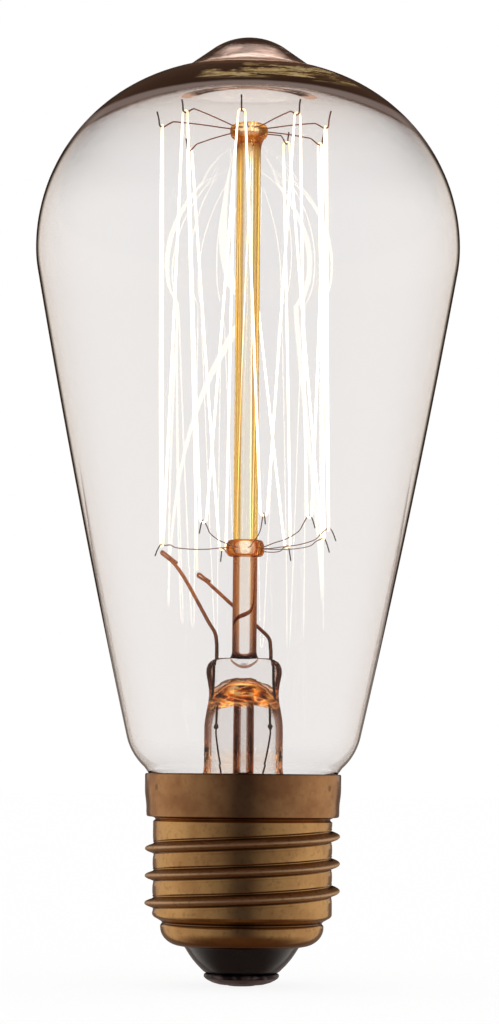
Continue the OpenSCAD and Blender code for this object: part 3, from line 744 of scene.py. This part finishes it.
# Blown envelope: arcs from the neck up to the tip, with its wall thicker in the dome
envelope = {
    "radius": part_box("glass_envelope")[1].x / mm,
    "tipHeight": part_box("glass_envelope")[1].z / mm,
    "neckRadius": 12.1, "neckBottom": 24, "neckRows": (24.5, 25, 25.5, 26),
    "collarCurve": [(12.12, 26.4), (12.18, 26.8), (12.28, 27.2), (12.42, 27.6), (12.62, 28),
                    (12.9, 28.45)],
    "waistHeight": 33.2, "widestHeight": 99.8, "arcSteps": (14, 24, 6, 34, 14, 14, 12),
    "sideRadius": 1490, "sideTurn": 10.3, "lowCrownRadius": 18, "crownRadius": 25,
    "domeRadius": 38, "bulgeRadius": 8, "bulgeTurn": 48,
    "tipRadius": 8.9, "tipFlank": 37, "tipFilletRadius": 6.8,
    "wall": 0.36, "domeWall": 1.4, "thickerFrom": 114.5, "thickerTo": 124.5,
    "swell": 1.3, "swellFrom": 10.5, "swellTo": 8, "bubbleFrom": 7.4, "bubbleTo": 6.2,
    "bubbleWall": 1.6,
}


def polar(radius, angle):
    return Vector((math.cos(math.radians(angle)), math.sin(math.radians(angle)))) * radius


def envelopeOutline(v):
    crown = Vector((v["radius"] - v["crownRadius"], v["widestHeight"]))
    crownEnd = math.degrees(math.acos(crown.x / (v["domeRadius"] - v["crownRadius"])))
    dome = Vector((0, crown.y - (v["domeRadius"] - v["crownRadius"])
                   * math.sin(math.radians(crownEnd))))
    lowCrown = Vector((v["radius"] - v["lowCrownRadius"], v["widestHeight"]))
    side = lowCrown - polar(v["sideRadius"] - v["lowCrownRadius"], -v["sideTurn"])
    waistTurn = math.degrees(math.asin((side.y - v["waistHeight"]) / v["sideRadius"]))
    bulge = side + polar(v["sideRadius"] - v["bulgeRadius"], -waistTurn)
    tip = Vector((0, v["tipHeight"] - v["tipRadius"]))
    outward = polar(1, 90 - v["tipFlank"])
    downward = polar(1, -v["tipFlank"])
    above = tip + (v["tipRadius"] + v["tipFilletRadius"]) * outward - dome
    drop = above.dot(downward)
    reach = v["domeRadius"] + v["tipFilletRadius"]
    fillet = dome + above - (drop + math.sqrt(drop ** 2 - above.length_squared
                                              + reach ** 2)) * downward
    domeEnd = math.degrees(math.atan2(fillet.y - dome.y, fillet.x))
    arcs = [(bulge, v["bulgeRadius"], -v["bulgeTurn"], -waistTurn),
            (side, v["sideRadius"], -waistTurn, -v["sideTurn"]),
            (lowCrown, v["lowCrownRadius"], -v["sideTurn"], 0),
            (crown, v["crownRadius"], 0, crownEnd),
            (dome, v["domeRadius"], crownEnd, domeEnd),
            (fillet, v["tipFilletRadius"], 180 + domeEnd, 270 - v["tipFlank"]),
            (tip, v["tipRadius"], 90 - v["tipFlank"], 90)]
    outline = [(v["neckRadius"], height) for height in v["neckRows"]] + v["collarCurve"]
    for number, (arc, steps) in enumerate(zip(arcs, v["arcSteps"])):
        outline += arcPoints(*arc, steps)[min(number, 1):]      # each starts where one ended
    return outline


def insideOf(outline, v):                       # the same line, in by the wall's thickness
    inside = []
    for i, point in enumerate(outline):
        before, after = outline[max(i - 1, 0)], outline[min(i + 1, len(outline) - 1)]
        along = (Vector(after) - Vector(before)).normalized()
        thick = v["wall"] + (v["domeWall"] - v["wall"]) * smoothStep(
            v["thickerFrom"], v["thickerTo"], point[1])
        thick += v["swell"] * smoothStep(-v["swellFrom"], -v["swellTo"], -point[0])
        thick += (v["bubbleWall"] - thick) * smoothStep(
            -v["bubbleFrom"], -v["bubbleTo"], -point[0])        # the hollow under the tip
        inside.append((max(point[0] - along.y * thick, 0), point[1] + along.x * thick))
    return inside


outline = envelopeOutline(envelope)
inside = insideOf(outline, envelope)
rim = [(envelope["neckRadius"], envelope["neckBottom"]),
       (envelope["neckRadius"] - envelope["wall"], envelope["neckBottom"])]
blown = lathe("envelope", outline[::-1] + rim + inside)
settle(blown, "glass_envelope", envelopeGlass)
print("envelope blown")

# Stem: flared tube whose top is pinched flat
stem = {
    "mouth": 23.2, "rim": 24.0, "wall": 0.55, "radius": 5.3, "flareHeight": 29.5,
    "outerRows": (31, 33, 34.6), "innerRows": (31, 33, 34.4),
    "outerPress": [(5.2, 35.6), (5.0, 36.8), (4.8, 37.8), (4.7, 38.8), (4.74, 39.6), (4.86, 40.4),
                   (5.02, 41.2), (5.12, 41.8), (5.08, 42.4), (4.9, 42.9), (4.6, 43.3),
                   (4.1, 43.6), (3.4, 43.78), (2.4, 43.82), (0, 43.82)],
    "innerPress": [(4.6, 35.4), (4.36, 36.4), (4.0, 37.4), (3.4, 38.3), (2.75, 39.1), (2.3, 39.6),
                   (1.9, 39.9), (1.2, 40), (0, 40)],
    "pinch": [(23, 1), (34, 1), (35.2, 0.98), (37, 0.82), (38.6, 0.66), (40.6, 0.54), (43, 0.52),
              (44, 0.46)],                      # height, and depth as a share of the width
}


def flarePoints(radius, bellRadius, rimShadeHeight, flareHeight):
    return [(bellRadius - (bellRadius - radius) * math.sin(math.radians(a)),
             flareHeight - (flareHeight - rimShadeHeight) * math.cos(math.radians(a)))
            for a in range(0, 91, 9)]


def pinchFlat(piece, table):                    # squeezes each ring from front to back
    for vertex in piece.data.vertices:
        height = vertex.co.z / mm
        for (low, before), (high, after) in zip(table, table[1:]):
            if low <= height <= high:
                vertex.co.y *= before + (after - before) * (height - low) / (high - low)
                break


def makeStem(v):
    bell = envelope["neckRadius"] - envelope["wall"]
    bore = v["radius"] - v["wall"]
    outer = [(envelope["neckRadius"], v["mouth"]), (envelope["neckRadius"], v["rim"])]
    outer += flarePoints(v["radius"], bell, v["rim"], v["flareHeight"])
    outer += [(v["radius"], height) for height in v["outerRows"]] + v["outerPress"]
    inner = flarePoints(bore, bell, v["mouth"], v["flareHeight"])
    inner += [(bore, height) for height in v["innerRows"]] + v["innerPress"]
    return lathe("stem", outer[::-1] + inner, 96)


stemPiece = makeStem(stem)
pinchFlat(stemPiece, stem["pinch"])
settle(stemPiece, "stem_flare", stemGlass)

exhaust = {
    "radius": 1.4, "bore": 0.85, "top": 39.96, "seal": 13.0, "taper": 3.4,
    "outerSeal": [(1.32, 2.4), (1.1, 1.3), (0.6, 0.4), (0.25, 0.05), (0, 0)],
    "innerSeal": [(0, 1.2), (0.35, 1.5), (0.7, 2.3)],       # heights over the sealed end
}


def makeExhaust(v):
    end = [(v["radius"], v["taper"])] + v["outerSeal"] + v["innerSeal"] + [(v["bore"], v["taper"])]
    end = [(radius, v["seal"] + height) for radius, height in end]
    top = [(v["bore"], v["top"]), (v["radius"], v["top"])]
    return lathe("exhaustTube", top + end + top[:1], 64)


settle(makeExhaust(exhaust), "exhaust_tube", exhaustGlass)

# Rod with a widened foot, the button on its top and the bead two fifths up
rod = {
    "radius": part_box("glass_rod")[1].x / mm, "top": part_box("glass_rod")[1].z / mm,
    "foot": 43.6, "footRadius": 2.0, "footEdge": 0.1, "footRise": 1.3, "footCurve": 1.5,
    "straightFrom": 2.0, "straightTo": 1.8,     # over the foot and under the top
    "topRadius": 2.05, "topRise": 1.6, "inButton": 0.25,
}


def makeRod(v):
    r, foot, top = v["radius"], v["foot"], v["top"]
    low, high = foot + v["straightFrom"], top - v["straightTo"]
    outline = [(0, foot), (v["footRadius"], foot), (v["footRadius"], foot + v["footEdge"])]
    outline += [(r + (v["footRadius"] - r) * (1 - math.sin(math.radians(a))) ** v["footCurve"],
                 foot + v["footEdge"] + v["footRise"] * a / 90) for a in range(15, 91, 15)]
    outline += [(r, low + (high - low) * part / 12) for part in range(13)]
    outline += [(r + (v["topRadius"] - r) * part ** 2, top + v["topRise"] * (part - 1))
                for part in (0.25, 0.5, 0.75, 1)]               # widens into the button
    outline += [(v["topRadius"], top + v["inButton"]), (0, top + v["inButton"])]
    return lathe("rod", outline, 64)


settle(makeRod(rod), "glass_rod", rodGlass)

button = {"outline": [
    (0, 115.2), (2.0, 115.2), (2.12, 115.3), (2.35, 115.48), (2.52, 115.75), (2.6, 116.1),
    (2.6, 116.5), (2.52, 116.85), (2.35, 117.1), (2.0, 117.25), (1.5, 117.32), (0.8, 117.34),
    (0, 117.34)]}
bead = {"middle": 58.7, "height": 2.2, "radius": 2.6, "gap": 0.02,
        "roundness": 0.42}                      # lower is squarer


def makeBead(v):
    inner = rod["radius"] + v["gap"]
    half = v["height"] / 2
    outline = [(inner + (v["radius"] - inner) * math.cos(math.radians(a)) ** v["roundness"],
                v["middle"] + half * math.sin(math.radians(a))) for a in range(-85, 86, 10)]
    foot, top = (inner, v["middle"] - half), (inner, v["middle"] + half)
    return lathe("lowerBead", [foot] + outline + [top, foot], 64)


settle(lathe("topButton", button["outline"], 64), "top_button", buttonGlass)
settle(makeBead(bead), "lower_bead", beadGlass)
print("stem and rod made")

# Hook wires, each bent one by one: azimuth, radius and height of its notch, and length of its tail
hooks = {
    "topStart": 1.0, "topHeight": 116.6, "topRadius": 0.11,
    "lowStart": 1.8, "lowHeight": 58.7, "lowRadius": 0.085,
    "armRadius": 0.8, "armReach": (9.5, 11),    # share of the bent end's, and where that starts
    "top": [(280, 12.1, 116.4, 2.1), (314, 12, 116.9, 2.4), (355, 11.5, 116.4, 2.9),
            (35, 11.3, 116.5, 2.7), (72, 11, 116.1, 2.4), (118, 11.2, 115.8, 1.8),
            (152, 11.3, 117, 1.8), (188, 11.5, 116.3, 1.9), (227, 11.4, 115.4, 1.8)],
    "low": [(284, 11.5, 58.9, 1.6), (331, 11.5, 61.5, 1.8), (12, 11.5, 62.4, 1.5),
            (48, 11.4, 62.5, 1.7), (90, 11.3, 61.5, 1.7), (111, 11.4, 60.5, 1.9),
            (149, 11.4, 59.9, 2), (196, 11.5, 59.6, 1.8)],
}


def topHookLine(v, hook):
    azimuth, r, z, tail = hook
    start = v["topHeight"]
    line = [(v["topStart"], start), (2.8, start), (0.55 * r, (start + z + 0.7) / 2 + 0.1),
            (r - 1.9, z + 0.75), (r - 1.4, z + 0.68), (r - 0.9, z + 0.4), (r - 0.3, z + 0.02),
            (r + 0.15, z), (r + 0.38, z + 0.25), (r + 0.48, z + 0.5 * tail), (r + 0.75, z + tail)]
    return [roundAxis(azimuth, *point) for point in line]


def lowHookLine(v, hook):
    azimuth, r, z, tail = hook
    start = v["lowHeight"]
    rise = z - start
    line = [(v["lowStart"], start), (3.2, start), (0.45 * r, start + 0.2 * rise - 0.3),
            (0.65 * r, start + 0.35 * rise - 0.4), (r - 1.9, start + 0.55 * rise - 0.3),
            (r - 1.1, start + 0.72 * rise), (r - 0.35, z - 0.12), (r - 0.1, z), (r + 0.15, z),
            (r + 0.4, z - 0.25), (r + 0.7, z - 0.5 * tail), (r + 1, z - tail)]
    return [roundAxis(azimuth, *point) for point in line]


def thinArm(point):                             # the bent end is thicker than the drawn arm
    thick = smoothStep(*hooks["armReach"], math.hypot(point.x, point.y))
    return hooks["armRadius"] + (1 - hooks["armRadius"]) * thick


def bendHooks(v, level, line, node):
    for number, hook in enumerate(v[level], 1):
        wire = tube("%sHook%d" % (level, number), smoothRoute(line(v, hook), 4),
                    v[level + "Radius"], 3, thinArm)
        settle(wire, "%s_anchor_%d" % (node, number), hookWire)


bendHooks(hooks, "top", topHookLine, "top")
bendHooks(hooks, "low", lowHookLine, "lower")
print("hooks bent")

# Filament: one strand from the left lead, up and down between the hooks, to the right lead
strand = {
    "radius": 0.14, "loopRadius": 0.48, "parts": 14, "bow": 0.14, "bowTurn": 2.4,
    "start": (-11.55, 2.6, 58.95), "end": (-6.7, 10.1, 56.45),
}


def halfTurn(hook, level, wireRadius, v):       # the strand's bend over or under a hook
    azimuth, r, z = hook[:3]
    loop = v["loopRadius"]
    rest = z + level * (wireRadius + v["radius"] - loop)        # lies on the wire
    centre = roundAxis(azimuth, r, rest)
    along = roundAxis(azimuth + 90, 1, 0)
    return [centre + loop * (math.sin(math.radians(a)) * along
                             + Vector((0, 0, level * math.cos(math.radians(a)))))
            for a in range(-90, 91, 22)] + [centre + loop * along]


def strandRoute(v):
    stops = []
    for i, hook in enumerate(hooks["top"]):
        stops.append(halfTurn(hook, 1, hooks["topRadius"], v))
        if i < len(hooks["low"]):
            stops.append(halfTurn(hooks["low"][i], -1, hooks["lowRadius"], v))
    bends = [[Vector(v["start"])]] + stops + [[Vector(v["end"])]]
    route = []
    for i, (here, there) in enumerate(zip(bends, bends[1:])):
        route += here
        outward = Vector((here[-1].x + there[0].x, here[-1].y + there[0].y, 0)).normalized()
        swing = v["bow"] * math.sin(v["bowTurn"] * i + 1)
        for part in range(1, v["parts"]):
            t = part / v["parts"]
            route.append(here[-1].lerp(there[0], t) + outward * swing * math.sin(math.pi * t))
    return route + bends[-1]


settle(tube("filamentStrand", strandRoute(strand), strand["radius"], 2), "filament",
       glow)
print("filament strung")

# Leads, thinned and folded back where they grip the filament
leads = {
    "radius": 0.25, "foldRadius": 0.7,
    "left": [(-3.72, 0, 42.6), (-3.72, 0, 44.6), (-3.75, 0, 45.8), (-4, 0.1, 47.2),
             (-4.95, 0.3, 48.8), (-6.6, 0.8, 51.8), (-8, 1.3, 54.3), (-9.2, 1.7, 56.1),
             (-10.2, 2.1, 57.1), (-11.1, 2.4, 57.8), (-11.45, 2.5, 58.1), (-11.4, 2.5, 58.36),
             (-11.1, 2.42, 58.26), (-10.2, 2.2, 57.55), (-9.3, 1.85, 56.72)],
    "right": [(3.6, 0, 42.6), (3.6, 0, 44.2), (3.55, 0.1, 45.2), (3.3, 0.7, 46.6),
              (1.9, 2.4, 48.1), (0.1, 3.7, 49.8), (-1.7, 5, 51.3), (-4, 7.2, 53.5),
              (-5.2, 8.4, 54.6), (-6.2, 9.5, 55.3), (-6.55, 9.85, 55.55), (-6.55, 9.85, 55.85),
              (-6.25, 9.55, 55.85), (-5.5, 8.75, 55.2), (-4.9, 8.1, 54.75)],
    "fold": {"left": (9.0, 10.2), "right": (4.4, 5.6)},         # where the thinner part starts
}


def makeLead(side, v):
    def thinner(point):
        return 1 - (1 - v["foldRadius"]) * smoothStep(*v["fold"][side], -point.x)
    return tube(side + "Lead", smoothRoute(v[side], 5), v["radius"], 4, thinner)


for side in ("left", "right"):
    settle(makeLead(side, leads), side + "_lead", copperWire)

# Seal wires through the press, weld knots under it and thin outer leads down into the cap
seals = {
    "x": {"left": -3.72, "right": 3.6}, "radius": 0.17, "length": 8, "weld": 34.6,   # whole millimetres
    "weldRadius": 0.33, "weldStretch": 1.35, "outerRadius": 0.12,
    "lumps": (9000, 7000, 11000), "lumpDepth": 0.14,            # waves to the right, back and up
    "left": [(-3.72, 0, 34.6), (-3.72, 0, 33.4), (-3.4, 0, 31), (-2.96, 0, 28), (-2.6, 0.2, 22),
             (-2.3, 0.2, 15), (-1.3, 0.1, 11.6), (-0.3, 0, 9.6), (0, 0, 8.2), (0, 0, 0.9)],
    "right": [(3.6, 0, 34.6), (3.6, 0, 33.4), (3.1, 0, 30.5), (2.6, 0.3, 28), (2.5, 1.2, 25.5),
              (2.2, 3.4, 23.2), (1.2, 7.4, 22.3), (0.3, 10.3, 22.7), (0, 11.5, 22.89),
              (0, 12.2, 22.98), (0, 12.38, 23.5), (0, 12.38, 27.2), (0, 12.6, 27.9),
              (0, 12.85, 28.33), (0, 13.2, 28.38), (0, 13.5, 28.33)],
}


def makeWeld(side, v):                          # a small lumpy knot
    deselectAll()
    centre = Vector((v["x"][side] * mm, 0, v["weld"] * mm))
    bpy.ops.mesh.primitive_ico_sphere_add(subdivisions=3, radius=v["weldRadius"] * mm,
                                          location=centre)
    knot = bpy.context.object
    knot.name = knot.data.name = side + "Weld"
    bpy.ops.object.transform_apply(location=True)
    for vertex in knot.data.vertices:
        right, back, up = (part * wave for part, wave in zip(vertex.co, v["lumps"]))
        lump = math.sin(right) * math.sin(up + back)
        vertex.co = centre + (vertex.co - centre) * (1 + v["lumpDepth"] * lump)
        vertex.co.z = centre.z + (vertex.co.z - centre.z) * v["weldStretch"]
    bpy.ops.object.shade_smooth()
    return knot


for side in ("left", "right"):
    x = seals["x"][side]
    rows = [(x, 0, seals["weld"] + up) for up in range(seals["length"] + 1)]
    settle(tube(side + "SealWire", rows, seals["radius"]),
           side + "_seal_wire", sealWire)
    settle(makeWeld(side, seals), side + "_weld_bead", weldMetal)
    settle(tube(side + "OuterLead", smoothRoute(seals[side], 5), seals["outerRadius"], 2),
           side + "_outer_lead", thinWire)
print("leads drawn")

# Screw cap, rolled from sheet: collar, right-hand thread, rounded shoulder and lip
cap = {
    "columns": 180, "wall": 0.3, "landRadius": 12.05, "crestHeight": 1.05, "crestHalf": 0.17,
    "grooveDepth": 0.12, "grooveEnd": 0.26, "pitch": 3.629, "crestAt": 19.95,
    "crestFirst": 9.8, "crestLast": 21.6, "fade": 1.0, "edgeFade": 0.4, "crestShape": 2.2,
    "landDip": 0.1,              # how far the land sinks beside a groove
    "threadFrom": 9.5, "threadTo": 21.8, "rowsEachTurn": 36, "seam": 0.01, "speck": 0.001,
    "lower": [(7.8, 5.25), (8.0, 5.25), (8.46, 5.28), (8.91, 5.37), (9.34, 5.52), (9.73, 5.73),
              (10.08, 5.98), (10.38, 6.28), (10.62, 6.61), (10.8, 6.97), (10.91, 7.36),
              (10.95, 7.75), (10.94, 7.95), (10.84, 8.12), (10.72, 8.25), (10.74, 8.4),
              (10.95, 8.6), (11.4, 8.85), (11.8, 9.08), (12.0, 9.3)],
    "upper": [(11.85, 21.95), (11.75, 22.1), (11.85, 22.25), (12.2, 22.38), (12.7, 22.43),
              (12.88, 22.5), (12.95, 22.65), (12.98, 23.1), (12.98, 23.7), (13.02, 24.3),
              (13.08, 24.8), (13.15, 25.3), (13.19, 25.8), (13.2, 26.4), (13.2, 27.2),
              (13.2, 28.0), (13.16, 28.14), (13.06, 28.2)],
}


def threadLift(v, height, turn):                # how far the sheet stands out from the land
    place = (height - v["crestAt"]) / v["pitch"] - turn / (2 * math.pi)
    place -= round(place)
    crest = height - place * v["pitch"]
    fade = smoothStep(0, 1, min(crest - v["crestFirst"], v["crestLast"] - crest) / v["fade"])
    fade *= smoothStep(0, v["edgeFade"], min(height - v["threadFrom"], v["threadTo"] - height))
    place = abs(place)
    if place < v["crestHalf"]:
        return fade * v["crestHeight"] * (1 - (place / v["crestHalf"]) ** v["crestShape"])
    if place < v["grooveEnd"]:
        share = (place - v["crestHalf"]) / (v["grooveEnd"] - v["crestHalf"])
        return -fade * v["grooveDepth"] * math.sin(math.pi * share)
    share = (place - v["grooveEnd"]) / (0.5 - v["grooveEnd"])
    return -fade * v["landDip"] * (1 - share) ** 3


def makeThread(v):                              # a sheet wound along the helix, cut level
    first = v["threadFrom"] - v["pitch"]
    sheet = drawLine("thread", [(v["landRadius"], 0, first + v["pitch"] * row / v["rowsEachTurn"])
                                for row in range(v["rowsEachTurn"] + 1)])
    bpy.ops.object.mode_set(mode="OBJECT")
    wound = sheet.modifiers.new("wound", "SCREW")
    wound.screw_offset = v["pitch"] * mm
    wound.iterations = math.ceil((v["threadTo"] - first) / v["pitch"])
    wound.steps = wound.render_steps = v["columns"]
    wound.use_merge_vertices = True
    wound.merge_threshold = joinWithin
    bpy.ops.object.modifier_apply(modifier="wound")
    for vertex in sheet.data.vertices:
        height = min(max(vertex.co.z / mm, v["threadFrom"]), v["threadTo"])
        radius = math.hypot(vertex.co.x, vertex.co.y) / mm
        lift = threadLift(v, height, math.atan2(vertex.co.y, vertex.co.x))
        vertex.co.z = height * mm
        vertex.co.x *= (radius + lift) / radius
        vertex.co.y *= (radius + lift) / radius
    return sheet


def makeCap(v):
    land = v["landRadius"]
    shell = lathe("capShell", v["lower"] + [(land, v["threadFrom"])], v["columns"])
    collar = lathe("collar", [(land, v["threadTo"])] + v["upper"], v["columns"])
    sheet = makeThread(v)
    deselectAll()
    for piece in (sheet, collar, shell):
        piece.select_set(True)
    bpy.context.view_layer.objects.active = shell
    bpy.ops.object.join()
    bpy.ops.object.mode_set(mode="EDIT")
    bpy.ops.mesh.select_all(action="SELECT")
    bpy.ops.mesh.remove_doubles(threshold=v["seam"] * mm)
    bpy.ops.mesh.dissolve_degenerate(threshold=v["speck"] * mm)
    bpy.ops.mesh.select_all(action="SELECT")
    bpy.ops.mesh.normals_make_consistent(inside=False)
    bpy.ops.object.mode_set(mode="OBJECT")
    rolled = shell.modifiers.new("rolled", "SOLIDIFY")
    rolled.thickness = v["wall"] * mm
    rolled.offset = -1
    bpy.ops.object.modifier_apply(modifier="rolled")
    bpy.ops.object.shade_smooth_by_angle(angle=math.radians(35))
    print("cap shell faces", len(shell.data.polygons))
    return shell


settle(makeCap(cap), "cap_shell", brass)

insulator = {"outline": [
    (1.5, 1.75), (4.6, 1.72), (4.9, 1.78), (5.15, 1.95), (5.4, 2.2), (6.0, 2.8), (6.6, 3.5),
    (7.1, 4.2), (7.45, 4.75), (7.68, 5.1), (7.76, 5.25), (7.76, 5.6), (8.5, 5.6), (9.5, 6.2),
    (10.2, 7.2), (10.4, 7.8), (10.2, 8.3), (9.3, 8.6), (4.5, 7.2), (1.5, 6.2), (1.5, 1.75)]}
settle(lathe("capInsulator", insulator["outline"], 96), "cap_insulator",
       blackGlass)

contact = {"outline": [
    (1.1, 0.3), (1.6, 0.2), (2.0, 0.12), (3.1, 0.22), (3.9, 0.45), (4.5, 0.74), (4.85, 0.98),
    (5.02, 1.2), (5.05, 1.38), (4.98, 1.56), (4.8, 1.66), (4.4, 1.7), (1.5, 1.7), (1.5, 7.4),
    (1.1, 7.4), (1.1, 0.3)]}
settle(lathe("centreContact", contact["outline"], 96), "centre_contact",
       contactMetal)
drop = {"outline": [(0, 0), (1.2, 0), (1.6, 0.01), (1.85, 0.05), (1.98, 0.12), (1.6, 0.24),
                    (1.1, 0.34), (1.1, 1.6), (0.8, 2.1), (0.4, 2.27), (0, 2.3)]}
settle(lathe("contactSolder", drop["outline"], 64), "contact_solder", solder)
print("cap made")

# What is left of the CAD nodes takes its finish here
finishes = {"cement": cement, "solder": solder}
for part in frame["record"]["subparts"]:
    piece = frame["nodes"][part["node"]]
    if not piece.hide_render:
        piece.data.materials.clear()
        piece.data.materials.append(finishes[part["material_slot"]])
        print("kept as it is:", part["node"])

bpy.context.scene.cycles.use_denoising = True
